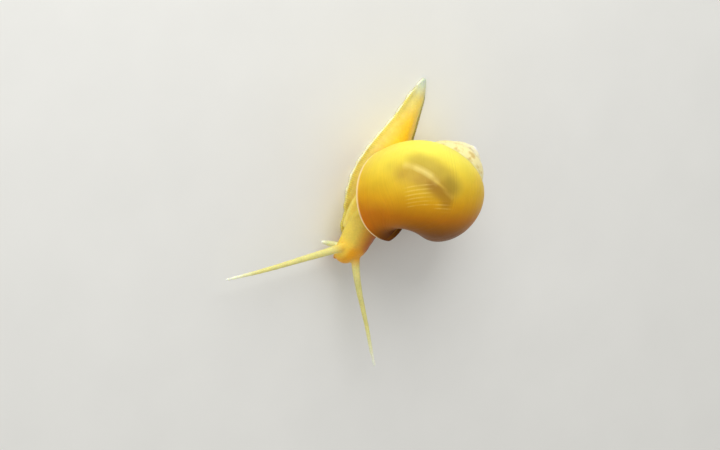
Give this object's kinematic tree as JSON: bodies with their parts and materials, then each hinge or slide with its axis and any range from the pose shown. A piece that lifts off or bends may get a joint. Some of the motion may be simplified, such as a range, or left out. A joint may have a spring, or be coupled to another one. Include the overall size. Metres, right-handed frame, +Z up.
{
  "type": "apple snail",
  "caption": "Life-size still model of a young golden apple snail crawling with its feelers spread and its round shell tilted to one side.",
  "frame": {"origin": "middle of the flat sole of the foot, at the height of the floor", "axes": "+Z up, -Y the way the snail crawls (head), +X its left side, to which the shell leans"},
  "size_m": [0.0426, 0.0551, 0.0205],
  "materials": {
    "shell": "thin translucent horn-like shell, glossy with fine growth lines",
    "flesh": "moist translucent skin, satin",
    "feeler": "pale translucent skin, satin",
    "horn": "thin amber horn with concentric rings",
    "eye": "glossy dark"
  },
  "bodies": {
    "root": {"shell": "shell", "mantle": "flesh", "foot_front": "flesh", "foot_middle": "flesh", "foot_tail": "flesh", "body_column": "flesh", "neck": "flesh", "head": "flesh", "snout": "flesh", "operculum": "horn", "palp_right": "feeler", "palp_left": "feeler", "eye_stalk_right": "flesh", "eye_stalk_left": "flesh", "eye_right": "eye", "eye_left": "eye", "tentacle_right_1": "feeler", "tentacle_right_2": "feeler", "tentacle_right_3": "feeler", "tentacle_left_1": "feeler", "tentacle_left_2": "feeler", "tentacle_left_3": "feeler"}
  },
  "joints": []
}
